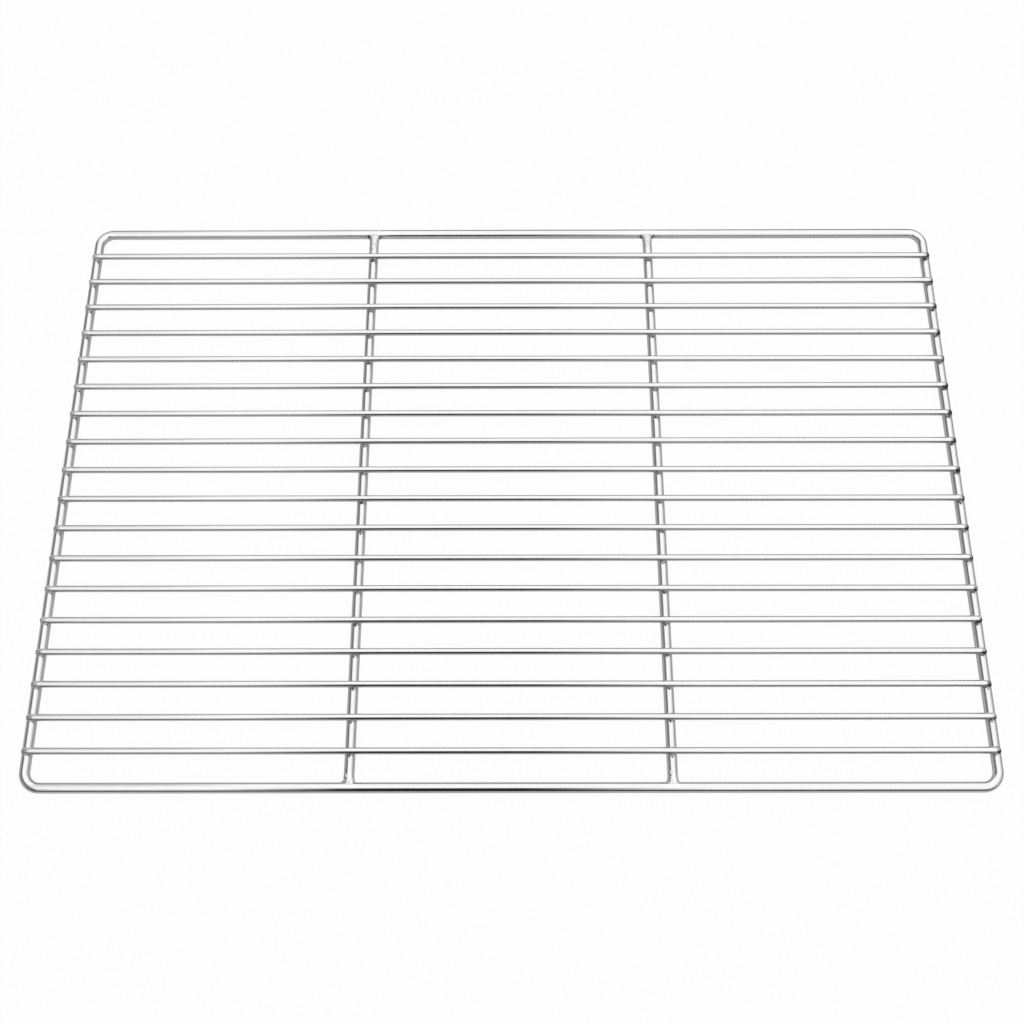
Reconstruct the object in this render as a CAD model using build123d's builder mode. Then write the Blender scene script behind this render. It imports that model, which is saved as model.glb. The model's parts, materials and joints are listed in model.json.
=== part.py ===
from build123d import *
import os

# A welded wire grill grate: a bent frame, two support bars in its plane and a row of rods on top.
# Millimetres. X runs from side to side, Y from front to back, Z up. The origin is in the middle of the
# grate, on the surface that it lies on.

# Driving dimensions
grate_length = 600.0      # over the outside of the frame, side to side
grate_depth = 400.0       # over the outside of the frame, front to back
frame_wire_d = 6.5        # wire of the bent frame
bend_radius = 10.0        # corner bends of the frame, at the middle of the wire
support_wire_d = 6.5      # wire of the two support bars
support_spacing = 197.0   # between the middles of the two support bars
rod_d = 4.2               # wire of the rods that carry the food
rod_count = 18
rod_edge_gap = 21.5       # middle of the front or back run to the middle of the nearest rod
rod_end_inset = 1.5       # outside of the frame to the end of a rod
rod_end_rounding = 1.2    # rounded rim at each end of a rod
weld_sink = 0.4           # how deep a rod is pressed into the wires under it
flare_length = 5.0        # length of the weld flare at each end of a support bar
flare_spread = 0.6        # how far the flare widens the bar on either side where it meets the frame
flare_drop = 0.4          # how far the flare stays below the top of the frame wire
flare_steps = 4           # sections that shape a flare, after the round one it starts from

# Worked out from them
frame_r = frame_wire_d / 2
support_r = support_wire_d / 2
rod_r = rod_d / 2
seat_z = max(frame_wire_d, support_wire_d)
frame_z = seat_z - frame_r
support_z = seat_z - support_r
rod_z = seat_z + rod_r - weld_sink
frame_half_x = grate_length / 2 - frame_r
frame_half_y = grate_depth / 2 - frame_r
rod_length = grate_length - 2 * rod_end_inset
first_rod_y = rod_edge_gap - frame_half_y
rod_pitch = (2 * frame_half_y - 2 * rod_edge_gap) / (rod_count - 1)
flare_start_y = frame_half_y - frame_r - flare_length

os.makedirs("parts", exist_ok=True)


def save(piece, name):
    """Labels a finished piece and writes it to its own file."""
    piece.part.label = name
    export_step(piece.part, f"parts/{name}.step")


# Frame: one wire bent round four corners and closed on itself
frame_corners = [
    (-frame_half_x, -frame_half_y),
    (frame_half_x, -frame_half_y),
    (frame_half_x, frame_half_y),
    (-frame_half_x, frame_half_y),
]
with BuildPart() as perimeter_frame:
    with BuildLine(Plane.XY.offset(frame_z)) as frame_path:
        FilletPolyline(*frame_corners, radius=bend_radius, close=True)
    with BuildSketch(Plane(origin=frame_path.line @ 0, z_dir=frame_path.line % 0)):
        Circle(frame_r)
    sweep(path=frame_path.line)
save(perimeter_frame, "perimeter_frame")


def across_bar(x, y, z):
    """A plane across a support bar, with its local X along the grate's X."""
    return Plane(origin=(x, y, z), x_dir=(1, 0, 0), z_dir=(0, 1, 0))


def flare_section(x, step):
    """Draws one section of a flare: round at the start, wide and low where it goes into the frame."""
    reach = (flare_length + frame_r) * step / flare_steps
    share = (reach / flare_length) ** 2
    z = support_z + (frame_z - support_z) * share
    half_width = support_r + flare_spread * share
    half_height = support_r + (frame_r - flare_drop - support_r) * share
    with BuildSketch(across_bar(x, flare_start_y + reach, z)) as section:
        Ellipse(half_width, half_height)
    return section.sketch


# Support bars: round wire with a weld flare at each end, shaped to the frame where they meet it
support_bars = []
for side, x in (("left", -support_spacing / 2), ("right", support_spacing / 2)):
    sections = [flare_section(x, step) for step in range(flare_steps + 1)]
    with BuildPart() as bar:
        with BuildSketch(across_bar(x, 0, support_z)):
            Circle(support_r)
        extrude(amount=flare_start_y)
        loft(sections=sections)
        mirror(about=Plane.XZ)
        add(perimeter_frame.part, mode=Mode.SUBTRACT)
    save(bar, f"support_bar_{side}")
    support_bars.append(bar.part)

# Rods: straight wires across the frame, counted from the front, each with a seat for every wire under it
for index in range(rod_count):
    y = first_rod_y + index * rod_pitch
    with BuildPart() as rod:
        with BuildSketch(Plane.YZ.offset(-rod_length / 2)):
            with Locations((y, rod_z)):
                Circle(rod_r)
        extrude(amount=rod_length)
        fillet(rod.edges().filter_by(GeomType.CIRCLE), radius=min(rod_end_rounding, 0.95 * rod_r))
        add(perimeter_frame.part, mode=Mode.SUBTRACT)
        add(support_bars, mode=Mode.SUBTRACT)
    save(rod, f"grill_rod_{index + 1:02d}")
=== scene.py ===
import json
import math
import random
from collections import namedtuple

import bpy
import bmesh
import numpy as np
from mathutils import Matrix, Vector


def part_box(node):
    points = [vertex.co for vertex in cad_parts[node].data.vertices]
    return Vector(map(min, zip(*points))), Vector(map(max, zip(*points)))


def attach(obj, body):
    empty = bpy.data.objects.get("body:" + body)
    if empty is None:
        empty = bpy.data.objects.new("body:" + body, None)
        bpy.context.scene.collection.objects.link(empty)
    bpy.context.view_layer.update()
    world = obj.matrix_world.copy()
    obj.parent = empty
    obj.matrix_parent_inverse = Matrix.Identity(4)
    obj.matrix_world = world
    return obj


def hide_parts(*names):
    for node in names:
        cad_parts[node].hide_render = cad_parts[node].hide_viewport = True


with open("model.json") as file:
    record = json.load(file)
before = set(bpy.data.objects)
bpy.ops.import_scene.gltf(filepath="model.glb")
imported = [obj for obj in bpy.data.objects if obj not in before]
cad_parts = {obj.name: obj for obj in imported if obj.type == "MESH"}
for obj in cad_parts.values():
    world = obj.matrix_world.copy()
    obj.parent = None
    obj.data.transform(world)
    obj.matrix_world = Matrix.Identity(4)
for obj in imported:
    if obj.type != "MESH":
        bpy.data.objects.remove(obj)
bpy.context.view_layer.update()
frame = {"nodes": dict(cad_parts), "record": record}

# A welded wire grill grate of polished steel. Metres, X along the rods, Y from front to back, Z up.

# Places and sizes that the frame gives
mounts = {mount["name"]: mount for mount in frame["record"]["mounts"]}
side_run = mounts["left_side_run"]
frame_r = side_run["dims"]["r_mm"] / 1000
frame_half_x = abs(side_run["pos_m"][0])
frame_half_y = abs(mounts["underside"]["pos_m"][1])
bend_r = frame_half_y - side_run["dims"]["length_mm"] / 2000
frame_z = frame_r
seat_z = 2 * frame_r
inside_y = frame_half_y - frame_r

support_names = ["support_bar_left", "support_bar_right"]
support_boxes = [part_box(name) for name in support_names]
support_xs = [(low.x + high.x) / 2 for low, high in support_boxes]
support_r = (support_boxes[0][1].z - support_boxes[0][0].z) / 2
support_z = (support_boxes[0][1].z + support_boxes[0][0].z) / 2

rod_names = sorted(name for name in frame["nodes"] if name.startswith("grill_rod"))
rod_boxes = [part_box(name) for name in rod_names]
rod_ys = [(low.y + high.y) / 2 for low, high in rod_boxes]
rod_r = (rod_boxes[0][1].y - rod_boxes[0][0].y) / 2
rod_z = rod_boxes[0][1].z - rod_r
rod_half = rod_boxes[0][1].x

# Details of the wire
rod_rim = 0.0012          # rounded rim at a rod's end
rod_wander = 0.00015      # how far a rod strays sideways from its true line
press_reach = 0.0050      # how far from its end a rod is pressed down by welding
press_drop = {-1: 0.0003, 1: 0.0008}   # how far the pressed end comes down, on the left and on the right
press_uneven = (0.5, 1.3)              # least and greatest share of it that one rod gets
press_flat = 0.10         # share of its height that the pressed end loses
press_widen = 0.5         # share of that loss that it gains in width
support_short = 0.3       # how far a support bar ends short of the frame wire's middle, in its radii
flare_length = 0.0050     # weld flare at each end of a support bar
flare_spread = 0.0006     # how far the flare widens the bar on either side
flare_drop = 0.0004       # how far the flare stays below the top of the frame wire

# Details of the crossing welds, each a collar round the place where a rod lies on a wire
collar_along_rod = 0.0021     # reach along the rod
collar_along_wire = 0.0026    # reach along the wire under it
collar_up_rod = 60.0          # how far round the rod it climbs, in degrees from the rod's lowest line
collar_down_wire = 42.0       # how far round the wire it comes down, in degrees from the wire's crown
collar_down_end = 60.0        # the same on the outer side, where the rod ends
collar_end_close = 0.75       # how far its upper edge closes in on the middle of a rod's end, in rod radii
collar_inner_r = 0.0013       # ring between rod and wire that the hollow of the collar starts from
collar_inner_drop = 0.0001    # how far that ring lies below the rods' seat
collar_hollow = 0.40          # how far the hollow comes out of there towards the collar's edges
collar_bulge_out = 0.0029     # bulge under a rod's end: how far it stands out from the wire's middle
collar_bulge_half = 0.0014    # half its width
collar_bulge_rise = 0.0003    # how far it rises above the rods' seat
collar_bulge_growth = 1.5     # power by which the hollow turns into the bulge towards the rod's end
collar_root = 0.25            # how far the edges go on into the rod and the wire
collar_core_r = 0.0006        # ring that closes the collar inside
collar_core_drop = 0.0002     # how far that ring lies below the rods' seat
# how uneven its measures are, as shares of them
collar_uneven = {"reach": 0.12, "climb": 0.15, "down": 0.12, "foot": 0.15, "hollow": 0.25, "bulge": 0.06}

# Details of the beads and lumps at the ends of the support bars
bead_r = {-1: 0.00065, 1: 0.00070}     # bead where a support bar meets the front and the back run
bead_uneven = {-1: 0.45, 1: 0.25}      # how uneven it is there
bead_turn = 125.0             # how far round the bar the bead runs on either side of the top, in degrees
bead_depth = 0.00015          # how far its middle lies inside the frame wire
bead_width = 1.25             # its width as a share of its height
bead_crown = 0.3              # share of its size that it has on top of the bar
bead_tail = 0.3               # share of its size that it keeps at its two ends
bead_fade = 1.15              # how late it tapers towards its ends
bead_fade_power = 6           # how suddenly it does so
bead_ripple = 0.10            # height of its ripples as a share of its size
bead_ripple_turn = 1.35       # how far the ripple's wave turns from ring to ring, in radians
bead_ripple_shift = 6         # greatest shift of that wave, in radians
lump_places = [(-36.0, 0.0034), (-34.0, 0.0050)]   # per bar: degrees from its top, and from the front run
lump_half = (0.0015, 0.0018, 0.0009)   # half its width, length and height
lump_sink = 0.0003            # how far its middle lies under the bar's surface
lump_cap = 80.0               # how far up and down its rings go, in degrees
lump_uneven = 0.25            # how uneven its outline is
uneven_waves = (1, 2, 3, 5)   # waves round a weld that make it uneven

# Fineness of the meshes
coarse_step = 0.012       # rings along a straight run
fine_step = 0.0006        # rings close to a weld
fine_reach = 0.0054       # how far from a weld they stay close
wire_segments = 32        # points round the thick wires
rod_segments = 28         # points round a rod
rim_steps = 9             # rings over the rounded rim of a rod's end
bend_steps = 14           # rings round a corner bend
collar_steps = 40         # points round a crossing weld
collar_fill = 7           # points across a crossing weld's hollow
bead_steps = 60           # rings along a support bar's bead
bead_segments = 14        # points round it
bead_passes = 8           # rounds in which the bead's line settles between bar and frame
lump_rings = 9            # rings up a lump of weld metal

# Stage
floor_half = 12.0             # half the width of the floor
floor_grey = 0.50             # how much light it throws back
floor_white_seen = 0.97       # share of plain white that the camera sees on it
floor_white_mirrored = 0.25   # the same in the polished wire
room_light = 0.85             # how bright the white room is
flag_foot = 0.005             # how far the upright flags stand above the floor
box_z = 1.6                   # height of the soft boxes
box_left = -0.72              # where the box overhead ends on the left and two others go on
box_glow = 0.55               # how bright a soft box shows in a mirror
dim_box_glow = 0.30           # the same for the one at the back left

# Camera, as fitted to the photograph
camera_place = (0.00279, -0.29085, 0.73006)
camera_pitch = math.radians(69.43)
camera_yaw = math.radians(-0.411)
camera_roll = math.radians(-0.483)
focal_pixels = 1175.9
image_pixels = 1024

draw = random.Random(7)
UP = np.array([0.0, 0.0, 1.0])
WHITE = (1.0, 1.0, 1.0, 1.0)
WHOLE = [(0.0, 1.0), (1.0, 1.0)]   # ramp of a flag that covers all of its face


# Steel

def new_material(name):
    """A material with no nodes yet, and its node tree."""
    material = bpy.data.materials.new(name)
    material.use_nodes = True
    material.node_tree.nodes.clear()
    return material, material.node_tree


def add_node(tree, kind, **values):
    """Adds a shader node and sets its inputs and properties by name."""
    node = tree.nodes.new(kind)
    for key, value in values.items():
        if key in node.inputs:
            node.inputs[key].default_value = value
        else:
            setattr(node, key, value)
    return node


def ramp(tree, factor, stops):
    """A colour ramp through (position, colour or grey) stops."""
    node = tree.nodes.new("ShaderNodeValToRGB")
    while len(node.color_ramp.elements) < len(stops):
        node.color_ramp.elements.new(0.5)
    for element, (position, colour) in zip(node.color_ramp.elements, stops):
        element.position = position
        element.color = (*colour, 1.0) if isinstance(colour, tuple) else (colour, colour, colour, 1.0)
    tree.links.new(factor, node.inputs["Fac"])
    return node.outputs["Color"]


def calculate(tree, operation, first, second):
    """A math node whose inputs are sockets or numbers."""
    node = add_node(tree, "ShaderNodeMath", operation=operation)
    for index, value in enumerate((first, second)):
        if isinstance(value, (int, float)):
            node.inputs[index].default_value = value
        else:
            tree.links.new(value, node.inputs[index])
    return node.outputs["Value"]


def colour_mix(tree, kind, first, second):
    """A node that mixes two colours: its sockets by identifier, and its result."""
    node = add_node(tree, "ShaderNodeMix", data_type="RGBA", blend_type=kind)
    socket = {item.identifier: item for item in node.inputs}
    tree.links.new(first, socket["A_Color"])
    tree.links.new(second, socket["B_Color"])
    return socket, next(item for item in node.outputs if item.identifier == "Result_Color")


def multiply_colours(tree, first, second):
    """Darkens one colour by another."""
    socket, result = colour_mix(tree, "MULTIPLY", first, second)
    socket["Factor_Float"].default_value = 1.0
    return result


def fade_colours(tree, factor, first, second):
    """Goes from one colour to another as a factor goes from 0 to 1."""
    socket, result = colour_mix(tree, "MIX", first, second)
    tree.links.new(factor, socket["Factor_Float"])
    return result


def attribute(tree, name):
    """The strength of one kind of weld mark at each point of a mesh."""
    return add_node(tree, "ShaderNodeAttribute", attribute_name=name).outputs["Fac"]


def streaks(tree, along, around, detail):
    """Noise on the wire map, with features of about that length and width in metres."""
    place = add_node(tree, "ShaderNodeUVMap", uv_map="wire")
    mapping = add_node(tree, "ShaderNodeMapping", Scale=(1 / along, 1 / around, 1.0))
    noise = add_node(tree, "ShaderNodeTexNoise", Scale=1.0, Detail=detail, Roughness=0.6)
    tree.links.new(place.outputs["UV"], mapping.inputs["Vector"])
    tree.links.new(mapping.outputs["Vector"], noise.inputs["Vector"])
    return noise.outputs["Fac"]


def lumps(tree, size, detail):
    """Noise through the object, with features of about that size in metres."""
    place = tree.nodes.new("ShaderNodeTexCoord")
    noise = add_node(tree, "ShaderNodeTexNoise", Scale=1 / size, Detail=detail, Roughness=0.6)
    tree.links.new(place.outputs["Object"], noise.inputs["Vector"])
    return noise.outputs["Fac"]


def bump(tree, height, strength, distance, under=None):
    """Raises a surface by a height, over another bump if one is given."""
    node = add_node(tree, "ShaderNodeBump", Strength=strength, Distance=distance)
    tree.links.new(height, node.inputs["Height"])
    if under:
        tree.links.new(under, node.inputs["Normal"])
    return node.outputs["Normal"]


def metal(name):
    """A metal material, its tree and its surface node."""
    material, tree = new_material(name)
    surface = add_node(tree, "ShaderNodeBsdfPrincipled", Metallic=1.0)
    out = tree.nodes.new("ShaderNodeOutputMaterial")
    tree.links.new(surface.outputs["BSDF"], out.inputs["Surface"])
    return material, tree, surface


def dark_spot_tint(tree):
    """Colour by which the dark spots beside the welds darken the steel, blotchy at their rims; the spot on a
    support bar's crown in front of each rod is a painted reflection of that rod.
    """
    blotch_floor, blotch_gain = 0.28, 4.2
    raised = calculate(tree, "SUBTRACT", lumps(tree, size=0.0010, detail=3.0), blotch_floor)
    blotchy = calculate(tree, "MULTIPLY", raised, blotch_gain)
    return ramp(tree, calculate(tree, "MULTIPLY", attribute(tree, "dark_spot"), blotchy),
                [(0.10, (1.0, 1.0, 1.0)), (0.35, (0.72, 0.71, 0.70)),
                 (0.60, (0.24, 0.235, 0.23)), (0.90, (0.05, 0.05, 0.055))])


def polished_wire():
    """Bright drawn wire: fine lines along it, soft dull patches, dull close to each weld, and dark spots
    near the welds, the one on a support bar's crown in front of each rod a painted reflection of that rod.
    """
    material, tree, surface = metal("polished_wire")
    drawn = streaks(tree, along=0.030, around=0.00025, detail=3.0)
    patches = streaks(tree, along=0.012, around=0.0030, detail=2.0)
    grain = lumps(tree, size=0.0008, detail=3.0)
    dull = attribute(tree, "dull")

    clean = ramp(tree, drawn, [(0.25, (0.590, 0.590, 0.594)), (0.75, (0.635, 0.633, 0.629))])
    fused = fade_colours(tree, dull, clean, ramp(tree, grain, [(0.30, 0.66), (0.60, 0.94)]))
    tree.links.new(multiply_colours(tree, fused, dark_spot_tint(tree)), surface.inputs["Base Color"])

    smooth = ramp(tree, patches, [(0.35, 0.08), (0.75, 0.16)])
    dull_roughness = 0.50
    roughened = calculate(tree, "MULTIPLY", dull, dull_roughness)
    tree.links.new(calculate(tree, "ADD", smooth, roughened), surface.inputs["Roughness"])
    lines = bump(tree, drawn, strength=0.10, distance=0.00002)
    fused_grain = calculate(tree, "MULTIPLY", grain, dull)
    rough = bump(tree, fused_grain, strength=0.45, distance=0.00010, under=lines)
    waves = bump(tree, patches, strength=0.35, distance=0.00006, under=rough)
    tree.links.new(waves, surface.inputs["Normal"])
    return material


def weld_metal(name, darkest, middle):
    """Fused metal at the welds: grainy, duller and stained by heat, from the darkest to a bright grey."""
    material, tree, surface = metal(name)
    grain = lumps(tree, size=0.0007, detail=4.0)
    stain = lumps(tree, size=0.0022, detail=2.0)
    colour = ramp(tree, stain, [(0.34, darkest), (0.50, middle), (0.66, (0.60, 0.595, 0.59))])
    # the dark spots darken the weld metal too; the one on a support bar's crown in front of each rod is a
    # painted reflection
    tree.links.new(multiply_colours(tree, colour, dark_spot_tint(tree)), surface.inputs["Base Color"])
    tree.links.new(ramp(tree, grain, [(0.30, 0.24), (0.75, 0.48)]), surface.inputs["Roughness"])
    tree.links.new(bump(tree, grain, strength=0.40, distance=0.00010), surface.inputs["Normal"])
    return material


wire_steel = polished_wire()
pale_weld = weld_metal("pale_weld", (0.50, 0.495, 0.49), (0.66, 0.655, 0.65))
stained_weld = weld_metal("stained_weld", (0.16, 0.16, 0.165), (0.40, 0.39, 0.38))


# Meshes

def marked(points, marks):
    """How strongly the marks, each a place, a strength and a reach, show at each point."""
    total = np.zeros(len(points))
    for place, strength, reach in marks:
        away = np.linalg.norm(points - np.array(place), axis=1)
        total = np.maximum(total, strength * np.exp(-(away / reach) ** 2))
    return total


def add_piece(name, verts, faces, material, marks, uvs=None):
    """A smooth piece of the grate with the marks near its welds, which can include painted reflection spots,
    and a wire map in metres if one is given.
    """
    mesh = bpy.data.meshes.new(name)
    mesh.from_pydata(verts.tolist(), [], faces)
    if uvs is not None:
        layer = mesh.uv_layers.new(name="wire")
        layer.data.foreach_set("uv", np.asarray(uvs, dtype=np.float32).ravel())
    for kind in ("dark_spot", "dull"):
        values = mesh.attributes.new(kind, "FLOAT", "POINT")
        values.data.foreach_set("value", marked(verts, marks[kind]).astype(np.float32))
    shell = bmesh.new()
    shell.from_mesh(mesh)
    bmesh.ops.recalc_face_normals(shell, faces=shell.faces)
    shell.to_mesh(mesh)
    shell.free()
    mesh.polygons.foreach_set("use_smooth", np.ones(len(faces), dtype=bool))
    mesh.materials.append(material)
    piece = bpy.data.objects.new(name, mesh)
    bpy.context.scene.collection.objects.link(piece)
    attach(piece, "root")
    return piece


def wire(name, centres, half_widths, half_heights, segments, closed, marks):
    """A wire along a nearly level line of points, with a half width and a half height at each of them."""
    count = len(centres)
    if closed:
        ahead = np.roll(centres, -1, axis=0) - np.roll(centres, 1, axis=0)
    else:
        ahead = np.gradient(centres, axis=0)
    ahead[:, 2] = 0.0
    ahead /= np.linalg.norm(ahead, axis=1)[:, None]
    across = np.cross(ahead, UP)
    turns = 2 * math.pi * (np.arange(segments) + 0.5) / segments - math.pi / 2
    rings = (centres[:, None, :]
             + across[:, None, :] * (half_widths[:, None] * np.cos(turns))[:, :, None]
             + UP * (half_heights[:, None] * np.sin(turns))[:, :, None])
    verts = rings.reshape(-1, 3)

    steps = np.linalg.norm(np.diff(centres, axis=0, append=centres[:1]), axis=1)
    along = np.concatenate([[0.0], np.cumsum(steps)])
    girth = 2 * math.pi * float(np.median(half_widths)) / segments
    faces, uvs = [], []
    for i in range(count if closed else count - 1):
        after = (i + 1) % count
        for j in range(segments):
            beside = (j + 1) % segments
            faces.append((i * segments + j, after * segments + j,
                          after * segments + beside, i * segments + beside))
            uvs += [(along[i], j * girth), (along[i + 1], j * girth),
                    (along[i + 1], (j + 1) * girth), (along[i], (j + 1) * girth)]
    if not closed:
        first_tip = len(verts)
        last_ring = (count - 1) * segments
        far = along[count - 1]
        verts = np.concatenate([verts, centres[:1], centres[-1:]])
        for j in range(segments):
            beside = (j + 1) % segments
            faces.append((first_tip, j, beside))
            faces.append((first_tip + 1, last_ring + beside, last_ring + j))
            uvs += [(0.0, 0.0), (0.0, j * girth), (0.0, (j + 1) * girth)]
            uvs += [(far, 0.0), (far, (j + 1) * girth), (far, j * girth)]
    return add_piece(name, verts, faces, wire_steel, marks, uvs)


def stations(length, marks):
    """Distances along a run of that length, closer together near the marks."""
    runs = [np.linspace(0.0, length, max(2, int(length / coarse_step)) + 1)]
    for mark in marks:
        runs.append(mark + np.arange(-fine_reach, fine_reach + fine_step / 2, fine_step))
    steps = np.unique(np.round(np.concatenate(runs), 5))
    return steps[(steps >= 0.0) & (steps <= length)]


# Marks near the welds: dark spots in front of the rods, the one on a support bar's crown a painted
# reflection of the rod above it, and dull or scorched patches where steel has fused.
# A spot lies aside of, behind and above the place that it marks and strays from there. It has a least and a
# greatest strength, and a reach. A patch is the same each time and level with its place.
Spot = namedtuple("Spot", "aside behind above stray weakest strongest reach")
Patch = namedtuple("Patch", "aside behind strength reach")

# from a rod's right tip, and from the crown of the right and the left run under it
tip_spots = [Spot(-0.0011, -0.0010, 0.0004, 0.0005, 1.2, 1.7, 0.0020),
             Spot(-0.0032, -0.0013, 0.0006, 0.0006, 0.4, 1.3, 0.0012)]
right_run_spots = [Spot(-0.0004, -0.0030, 0.0, 0.0006, 0.6, 1.2, 0.0010),
                   Spot(-0.0026, -0.0022, -0.0008, 0.0004, 0.4, 0.9, 0.0008)]
left_run_spot = Spot(0.0016, -0.0030, -0.0004, 0.0006, 0.2, 0.6, 0.0008)
left_tip_patch = Patch(0.0006, 0.0, 0.5, 0.0030)
right_tip_patch = Patch(-0.0006, 0.0, 0.3, 0.0030)

# from the crown of a support bar under a rod; the spot straight in front of the rod is a painted reflection
# of the rod in the crown
bar_reflection_spot = Spot(0.0, -0.0030, 0.0, 0.0003, 1.0, 1.3, 0.0008)
bar_flank_spot = Spot(0.0024, -0.0022, -0.0010, 0.0003, 0.3, 0.7, 0.0007)
bar_patch = Patch(0.0, -0.0022, 0.3, 0.0026)

# from the corners of a support bar's flares, and from the crown where it meets the back and the front run
back_corner_spot = Spot(0.0001, 0.0003, 0.0010, 0.0003, 0.9, 1.2, 0.0014)
front_corner_spot = Spot(0.0001, 0.0010, 0.0012, 0.0004, 0.2, 0.6, 0.0009)
front_bar_spots = [Spot(-0.0018, behind, -0.0006, 0.0006, 0.2, 0.7, 0.0010)
                   for behind in (0.0025, 0.0050, 0.0075)]
back_scorches = [Patch(0.0, -0.006, 0.26, 0.0090), Patch(0.0, frame_r, 0.20, 0.0050)]
back_patches = [Patch(0.0, -0.004, 0.9, 0.0075), Patch(0.0, -0.012, 0.7, 0.0060),
                Patch(0.0, frame_r, 0.7, 0.0055)]
front_patch = Patch(0.0, 0.001, 0.6, 0.0040)


def spot_mark(place, spot, side=1):
    """A dark spot near a place, a painted reflection where it is the spot on a support bar's crown; side
    turns it to the left (-1) or to the right (1).
    """
    x, y, z = place
    moved = (x + side * spot.aside, y + spot.behind, z + spot.above)
    middle = tuple(value + draw.uniform(-spot.stray, spot.stray) for value in moved)
    return middle, draw.uniform(spot.weakest, spot.strongest), spot.reach


def patch_mark(place, patch):
    """An even mark beside a place."""
    x, y, z = place
    return (x + patch.aside, y + patch.behind, z), patch.strength, patch.reach


side_marks = {"dark_spot": [], "dull": []}
for y in rod_ys:
    side_marks["dark_spot"] += [spot_mark((rod_half, y, rod_z), spot) for spot in tip_spots]
    side_marks["dark_spot"] += [spot_mark((frame_half_x, y, seat_z), spot) for spot in right_run_spots]
    side_marks["dark_spot"].append(spot_mark((-frame_half_x, y, seat_z), left_run_spot))
    side_marks["dull"].append(patch_mark((-rod_half, y, rod_z), left_tip_patch))
    side_marks["dull"].append(patch_mark((rod_half, y, rod_z), right_tip_patch))


def support_marks(x):
    """Marks along a support bar and where it meets the frame."""
    dark_spot, dull = [], []
    for y in rod_ys:
        crown = (x, y, seat_z)
        # painted reflection: a dark dot on the bar's crown just in front of the rod, where the rod is
        # mirrored
        dark_spot.append(spot_mark(crown, bar_reflection_spot))
        dull.append(patch_mark(crown, bar_patch))
        dark_spot += [spot_mark(crown, bar_flank_spot, side) for side in (-1, 1)]
    for side in (-1, 1):
        corner_x = x + side * (support_r + flare_spread)
        dark_spot.append(spot_mark((corner_x, inside_y, frame_z), back_corner_spot, side))
        dark_spot.append(spot_mark((corner_x, -inside_y, frame_z), front_corner_spot, side))
    back, front = (x, inside_y, seat_z), (x, -inside_y, seat_z)
    dark_spot += [spot_mark(front, spot) for spot in front_bar_spots]
    dark_spot += [patch_mark(back, patch) for patch in back_scorches]
    dull += [patch_mark(back, patch) for patch in back_patches]
    dull.append(patch_mark(front, front_patch))
    return {"dark_spot": dark_spot, "dull": dull}


marks_by_support = [support_marks(x) for x in support_xs]
frame_marks = {kind: side_marks[kind] + [mark for marks in marks_by_support for mark in marks[kind]]
               for kind in ("dark_spot", "dull")}


# Frame: one wire bent round four corners, anticlockwise from the front run
def frame_line():
    """Points along the middle of the frame wire."""
    straight_x = frame_half_x - bend_r
    straight_y = frame_half_y - bend_r
    runs = [
        ((-straight_x, -frame_half_y), (1, 0), 2 * straight_x, [x + straight_x for x in support_xs]),
        ((frame_half_x, -straight_y), (0, 1), 2 * straight_y, [y + straight_y for y in rod_ys]),
        ((straight_x, frame_half_y), (-1, 0), 2 * straight_x, [straight_x - x for x in support_xs]),
        ((-frame_half_x, straight_y), (0, -1), 2 * straight_y, [straight_y - y for y in rod_ys]),
    ]
    points = []
    for (x, y), (dx, dy), length, welds in runs:
        for reach in stations(length, welds):
            points.append((x + dx * reach, y + dy * reach, frame_z))
        # the bend turns left about a hub beside the end of the run
        hub_x = x + dx * length - dy * bend_r
        hub_y = y + dy * length + dx * bend_r
        for step in range(1, bend_steps):
            turn = math.radians(90.0 * step / bend_steps)
            points.append((hub_x + bend_r * (dy * math.cos(turn) + dx * math.sin(turn)),
                           hub_y + bend_r * (dy * math.sin(turn) - dx * math.cos(turn)), frame_z))
    return np.array(points)


frame_points = frame_line()
thickness = np.full(len(frame_points), frame_r)
frame_wire = wire("frame_wire", frame_points, thickness, thickness, wire_segments, True, frame_marks)
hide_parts("perimeter_frame")


# Support bars: straight wires that flare into the frame at both ends
def flare(y):
    """Half width and half height of a support bar at a place along it."""
    share = np.clip((np.abs(y) - (inside_y - flare_length)) / flare_length, 0.0, None) ** 2
    return support_r + flare_spread * share, support_r - flare_drop * share


support_half = frame_half_y - support_short * frame_r
support_welds = [y + support_half for y in rod_ys] + [fine_reach, 2 * support_half - fine_reach]
for name, x, marks in zip(support_names, support_xs, marks_by_support):
    bar_ys = stations(2 * support_half, support_welds) - support_half
    centres = np.stack([np.full_like(bar_ys, x), bar_ys, np.full_like(bar_ys, support_z)], axis=1)
    bar = wire(name.replace("bar", "wire"), centres, *flare(bar_ys), wire_segments, False, marks)
    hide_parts(name)


# Rods: straight wires with rounded ends that welding has pressed down onto the frame
end_drops = [{side: press_drop[side] * draw.uniform(*press_uneven) for side in (-1, 1)}
             for name in rod_names]


def pressed(x):
    """How far, from 0 to 1, a rod is pressed at a place along it."""
    return np.clip(1 - (rod_half - np.abs(x)) / press_reach, 0.0, 1.0) ** 2


def rod_middle_z(index, x):
    """Height of a rod's middle at a place along it."""
    drops = end_drops[index]
    return rod_z - np.where(x < 0, drops[-1], drops[1]) * pressed(x)


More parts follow.
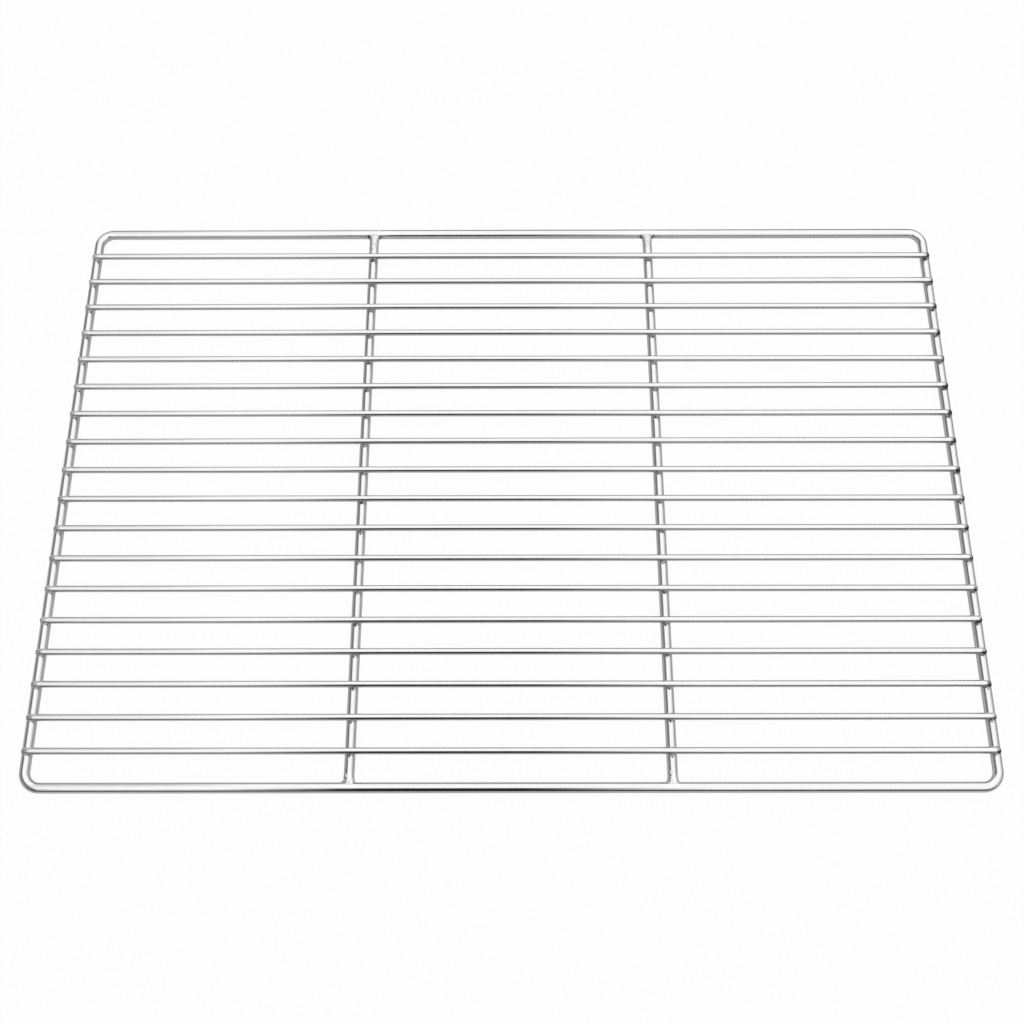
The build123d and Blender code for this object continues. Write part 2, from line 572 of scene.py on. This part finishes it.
rod_welds = [rod_half + x for x in (-frame_half_x, *support_xs, frame_half_x)]
rim_stations = rod_rim * (1 - np.cos(np.linspace(0.0, math.pi / 2, rim_steps)))
rod_stations = [stations(2 * rod_half, rod_welds), rim_stations, 2 * rod_half - rim_stations]
rod_xs = np.unique(np.round(np.concatenate(rod_stations), 6)) - rod_half
inside_rim = np.clip(rod_rim - (rod_half - np.abs(rod_xs)), 0.0, rod_rim)
rod_radii = rod_r - rod_rim + np.sqrt(rod_rim ** 2 - inside_rim ** 2)
rod_half_widths = rod_radii * (1 + press_widen * press_flat * pressed(rod_xs))
rod_half_heights = rod_radii * (1 - press_flat * pressed(rod_xs))
for index, (name, y) in enumerate(zip(rod_names, rod_ys)):
    lean = draw.uniform(-rod_wander, rod_wander)
    bow = draw.uniform(-rod_wander, rod_wander)
    share = rod_xs / rod_half
    wandering_y = y + lean * share + bow * (1 - share ** 2)
    centres = np.stack([rod_xs, wandering_y, rod_middle_z(index, rod_xs)], axis=1)
    rod = wire(name.replace("grill_rod", "rod_wire"), centres, rod_half_widths, rod_half_heights,
               rod_segments, False, side_marks)
    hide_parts(name)


# Welds
def ring_faces(count, size, closed, first):
    """Faces between rings of points that follow each other, and over the two ends if they aren't closed."""
    faces = []
    for i in range(count if closed else count - 1):
        after = (i + 1) % count
        for j in range(size):
            beside = (j + 1) % size
            faces.append((first + i * size + j, first + after * size + j,
                          first + after * size + beside, first + i * size + beside))
    if not closed:
        faces.append(tuple(first + j for j in range(size)))
        faces.append(tuple(first + (count - 1) * size + j for j in range(size)))
    return faces


def wobble(turns, amount):
    """A factor near 1 that varies smoothly round a weld."""
    total = np.ones_like(turns)
    for waves in uneven_waves:
        total += amount / waves * draw.uniform(-1, 1) * np.sin(waves * turns + draw.uniform(0, 2 * math.pi))
    return total


def collar(index, x0, wire_r, wire_z, end_side):
    """Rings of points for the weld where a rod crosses a wire.

    end_side is -1 or 1 where the rod ends there, on the left or on the right, and 0 where it goes on.
    """
    y0 = rod_ys[index]
    turns = 2 * math.pi * np.arange(collar_steps) / collar_steps
    cosine, sine = np.cos(turns), np.sin(turns)
    outer = np.clip(end_side * cosine, 0.0, 1.0)

    def level_ring(radius, z):
        """A level circle of points about the crossing."""
        return np.stack([x0 + radius * cosine, y0 + radius * sine, np.full_like(cosine, z)], axis=1)

    # upper edge, on the rod or on its end
    to_end = (end_side * rod_half - x0) * end_side
    reach = np.where(outer > 0, to_end, collar_along_rod) * wobble(turns, collar_uneven["reach"])
    climb = np.radians(collar_up_rod) * wobble(turns, collar_uneven["climb"]) * sine
    edge_r = rod_r * (1 - collar_end_close * outer ** 2)
    upper_x = x0 + reach * cosine
    middle_z = rod_middle_z(index, np.clip(upper_x, -rod_half, rod_half))
    upper = np.stack([upper_x, y0 + edge_r * np.sin(climb), middle_z - edge_r * np.cos(climb)], axis=1)
    rod_core = np.stack([x0 + reach * cosine / 2, np.full_like(cosine, y0), middle_z], axis=1)

    # lower edge, on the wire
    furthest_down = np.radians(np.where(outer > 0, collar_down_end, collar_down_wire))
    down = furthest_down * wobble(turns, collar_uneven["down"]) * cosine
    foot_y = y0 + collar_along_wire * wobble(turns, collar_uneven["foot"]) * sine
    foot = np.stack([x0 + wire_r * np.sin(down), foot_y, wire_z + wire_r * np.cos(down)], axis=1)
    wire_core = np.stack([np.full_like(cosine, x0), foot_y, np.full_like(cosine, wire_z)], axis=1)

    # a hollow between them, filled out into a bulge where the rod ends
    crotch = level_ring(collar_inner_r, seat_z - collar_inner_drop)
    filled = collar_hollow * wobble(turns, collar_uneven["hollow"])
    hollow = crotch + filled[:, None] * ((upper + foot) / 2 - crotch)
    bulge_x = x0 + collar_bulge_out * end_side * wobble(turns, collar_uneven["bulge"])
    bulge_z = np.full_like(cosine, seat_z + collar_bulge_rise)
    bulge = np.stack([bulge_x, y0 + collar_bulge_half * sine, bulge_z], axis=1)
    pull = hollow + outer[:, None] ** collar_bulge_growth * (bulge - hollow)

    section = [upper + collar_root * (rod_core - upper)]
    for share in np.linspace(0.0, 1.0, collar_fill):
        section.append((1 - share) ** 2 * upper + 2 * share * (1 - share) * pull + share ** 2 * foot)
    section.append(foot + collar_root * (wire_core - foot))
    section.append(level_ring(collar_core_r, seat_z - collar_core_drop))
    return np.stack(section, axis=1)


def add_collars(name, x0, wire_r, wire_z, end_side, material, marks):
    """One piece with the welds of all the rods on one wire."""
    verts, faces = [], []
    for index in range(len(rod_names)):
        rings = collar(index, x0, wire_r, wire_z, end_side)
        faces += ring_faces(collar_steps, rings.shape[1], True, len(verts))
        verts += rings.reshape(-1, 3).tolist()
    return add_piece(name, np.array(verts), faces, material, marks)


add_collars("rod_welds_left", -frame_half_x, frame_r, frame_z, -1, pale_weld, side_marks)
add_collars("rod_welds_right", frame_half_x, frame_r, frame_z, 1, stained_weld, side_marks)
for name, x, marks in zip(support_names, support_xs, marks_by_support):
    weld_name = name.replace("support_bar", "rod_welds_support")
    add_collars(weld_name, x, support_r, support_z, 0, stained_weld, marks)


def bead(x0, end):
    """Rings of points for the weld bead where a support bar meets the front (-1) or the back (1) run."""
    turns = np.radians(np.linspace(-bead_turn, bead_turn, bead_steps))
    y = np.full(bead_steps, inside_y)
    for pass_number in range(bead_passes):
        half_width, half_height = flare(y)
        z = support_z + half_height * np.cos(turns)
        y = frame_half_y - np.sqrt(np.clip(frame_r ** 2 - (z - frame_z) ** 2, 0.0, None))
    line = np.stack([x0 + half_width * np.sin(turns), end * (y + bead_depth), z], axis=1)
    ahead = np.gradient(line, axis=0)
    ahead /= np.linalg.norm(ahead, axis=1)[:, None]
    out = np.stack([np.sin(turns), np.full(bead_steps, -end), np.cos(turns)], axis=1)
    out -= (out * ahead).sum(axis=1)[:, None] * ahead
    out /= np.linalg.norm(out, axis=1)[:, None]
    beside = np.cross(ahead, out)

    tapered = np.clip(bead_fade - np.abs(turns / turns[-1]) ** bead_fade_power, bead_tail, 1.0)
    thinned = bead_crown + (1 - bead_crown) * np.sin(turns) ** 2
    ripple_start = draw.uniform(0, bead_ripple_shift)
    ripple = 1 + bead_ripple * np.sin(np.arange(bead_steps) * bead_ripple_turn + ripple_start)
    uneven = wobble(np.linspace(0, 2 * math.pi, bead_steps), bead_uneven[end])
    size = bead_r[end] * (tapered * thinned) * ripple * uneven
    spin = 2 * math.pi * np.arange(bead_segments) / bead_segments
    return (line[:, None, :] + out[:, None, :] * (size[:, None] * np.cos(spin))[:, :, None]
            + beside[:, None, :] * (bead_width * size[:, None] * np.sin(spin))[:, :, None])


def lump(x0, degrees, behind):
    """Rings of points for an uneven lump of weld metal on a support bar, a little behind the front run."""
    rises = np.radians(np.linspace(-lump_cap, lump_cap, lump_rings))[:, None, None]
    turns = (2 * math.pi * np.arange(bead_segments) / bead_segments)[:, None]
    uneven = wobble(turns, lump_uneven)
    angle = math.radians(degrees)
    out = np.array([math.sin(angle), 0.0, math.cos(angle)])
    aside = np.array([math.cos(angle), 0.0, -math.sin(angle)])
    along = np.array([0.0, 1.0, 0.0])
    middle = np.array([x0, behind - inside_y, support_z]) + (support_r - lump_sink) * out
    half_width, half_length, half_height = lump_half
    girdle = uneven * (half_width * np.cos(turns) * aside + half_length * np.sin(turns) * along)
    return middle + np.cos(rises) * girdle + half_height * np.sin(rises) * out


for name, x, marks, lump_place in zip(support_names, support_xs, marks_by_support, lump_places):
    verts, faces = [], []
    for rings in (bead(x, -1), bead(x, 1), lump(x, *lump_place)):
        faces += ring_faces(len(rings), bead_segments, False, len(verts))
        verts += rings.reshape(-1, 3).tolist()
    add_piece(name.replace("support_bar", "support_end_welds"), np.array(verts), faces, pale_weld, marks)


# Stage: white floor, white surroundings, soft boxes and grey flags
def shown_white(tree, plain, white, camera_share, mirror_share):
    """Mixes a share of white into a shader where camera rays, and mirror or see-through rays, arrive."""
    path = tree.nodes.new("ShaderNodeLightPath")
    mirrored = calculate(tree, "MAXIMUM", path.outputs["Is Glossy Ray"], path.outputs["Is Transmission Ray"])
    share = calculate(tree, "MAXIMUM",
                      calculate(tree, "MULTIPLY", path.outputs["Is Camera Ray"], camera_share),
                      calculate(tree, "MULTIPLY", mirrored, mirror_share))
    mix = tree.nodes.new("ShaderNodeMixShader")
    tree.links.new(share, mix.inputs["Fac"])
    tree.links.new(plain, mix.inputs[1])
    tree.links.new(white, mix.inputs[2])
    return mix.outputs["Shader"]


def panel(name, corners, material):
    """A flat four-cornered stage piece."""
    mesh = bpy.data.meshes.new(name)
    mesh.from_pydata(corners, [], [(0, 1, 2, 3)])
    mesh.materials.append(material)
    piece = bpy.data.objects.new(name, mesh)
    bpy.context.scene.collection.objects.link(piece)
    return piece


floor_material, tree = new_material("white_floor")
out = tree.nodes.new("ShaderNodeOutputMaterial")
matte = add_node(tree, "ShaderNodeBsdfDiffuse", Color=(floor_grey, floor_grey, floor_grey, 1.0))
glow = add_node(tree, "ShaderNodeEmission", Color=WHITE, Strength=1.0)
mixed = shown_white(tree, matte.outputs["BSDF"], glow.outputs["Emission"],
                    floor_white_seen, floor_white_mirrored)
tree.links.new(mixed, out.inputs["Surface"])
panel("floor", [(-floor_half, -floor_half, 0), (floor_half, -floor_half, 0),
                (floor_half, floor_half, 0), (-floor_half, floor_half, 0)], floor_material)

world = bpy.data.worlds.new("white_room")
world.use_nodes = True
bpy.context.scene.world = world
tree = world.node_tree
tree.nodes.clear()
out = tree.nodes.new("ShaderNodeOutputWorld")
dim = add_node(tree, "ShaderNodeBackground", Color=WHITE, Strength=room_light)
bright = add_node(tree, "ShaderNodeBackground", Color=WHITE, Strength=1.0)
mixed = shown_white(tree, dim.outputs["Background"], bright.outputs["Background"], 1.0, 1.0)
tree.links.new(mixed, out.inputs["Surface"])


def flag(name, corners, grey, sideways=WHOLE, upwards=WHOLE):
    """A card that only mirror-like surfaces see, to give the polished wire its dark lines.

    Its cover, from 0 to 1, follows a ramp from its left to its right side and one from its foot to its top.
    """
    material, tree = new_material(name)
    out = tree.nodes.new("ShaderNodeOutputMaterial")
    card = add_node(tree, "ShaderNodeEmission", Color=(grey, grey, grey, 1.0), Strength=1.0)
    clear = tree.nodes.new("ShaderNodeBsdfTransparent")
    place = tree.nodes.new("ShaderNodeSeparateXYZ")
    tree.links.new(tree.nodes.new("ShaderNodeTexCoord").outputs["Generated"], place.inputs["Vector"])
    cover = calculate(tree, "MULTIPLY", ramp(tree, place.outputs["X"], sideways),
                      ramp(tree, place.outputs["Z"], upwards))
    mix = tree.nodes.new("ShaderNodeMixShader")
    tree.links.new(cover, mix.inputs["Fac"])
    tree.links.new(clear.outputs["BSDF"], mix.inputs[1])
    tree.links.new(card.outputs["Emission"], mix.inputs[2])
    tree.links.new(mix.outputs["Shader"], out.inputs["Surface"])
    piece = panel(name, corners, material)
    piece.visible_camera = False
    piece.visible_diffuse = False
    piece.visible_shadow = False


def upright(start, end, top, end_top):
    """Corners of a flag that stands on a line from start to end, with a top height above each."""
    return [(*start, flag_foot), (*end, flag_foot), (*end, end_top), (*start, top)]


flag("left_flag", upright((-1.3, -2.0), (-1.3, 1.2), 2.1, 2.1), 0.22, upwards=[(0.0, 0.55), (0.40, 1.0)])
flag("right_flag", upright((1.4, -2.0), (1.4, 2.0), 0.30, 0.30), 0.12)
flag("front_flag", upright((-2.0, -1.3), (2.0, -1.3), 0.50, 0.70), 0.03)
flag("back_flag", upright((-1.6, 0.60), (1.6, 0.60), 0.205, 0.205), 0.08,
     sideways=[(0.35, 0.75), (0.65, 1.0)])
flag("front_card", [(-0.32, -0.80, 0.05), (0.22, -0.80, 0.05), (0.22, -0.33, 0.80), (-0.32, -0.33, 0.80)],
     0.030, sideways=[(0.0, 0.0), (0.26, 1.0), (0.65, 1.0), (1.0, 0.0)], upwards=[(0.72, 1.0), (1.0, 0.0)])


def soft_box(name, low, high, radiance):
    """A flat lamp between two corners, level or upright, that shows as that bright in a mirror."""
    low, high = Vector(low), Vector(high)
    size = high - low
    level = size.z == 0
    lamp = bpy.data.lights.new(name, "AREA")
    lamp.shape = "RECTANGLE"
    lamp.size = size.x
    lamp.size_y = size.y if level else size.z
    lamp.energy = radiance * math.pi * lamp.size * lamp.size_y
    box = bpy.data.objects.new(name, lamp)
    bpy.context.scene.collection.objects.link(box)
    box.location = (low + high) / 2
    box.rotation_euler = (0, 0, 0) if level else (-math.pi / 2, 0, 0)
    box.visible_camera = False


soft_box("top_box", (box_left, -1.6, box_z), (1.6, 1.5, box_z), box_glow)
soft_box("top_left_box", (-1.5, -1.6, box_z), (box_left, 0.0, box_z), box_glow)
soft_box("top_back_left_box", (-1.5, 0.0, box_z), (box_left, 1.5, box_z), dim_box_glow)
soft_box("back_box", (-0.70, 1.5, 0.05), (1.6, 1.5, box_z), box_glow)


# Camera, looking down on the grate from the front
lens = bpy.data.cameras.new("camera")
lens.sensor_width = 36.0
lens.lens = lens.sensor_width * focal_pixels / image_pixels
lens.clip_start = 0.01
camera = bpy.data.objects.new("camera", lens)
bpy.context.scene.collection.objects.link(camera)
camera.matrix_world = (Matrix.Translation(camera_place)
                       @ Matrix.Rotation(-camera_yaw, 4, "Z")
                       @ Matrix.Rotation(math.pi / 2 - camera_pitch, 4, "X")
                       @ Matrix.Rotation(camera_roll, 4, "Z"))
bpy.context.scene.camera = camera
bpy.context.scene.view_settings.view_transform = "Standard"
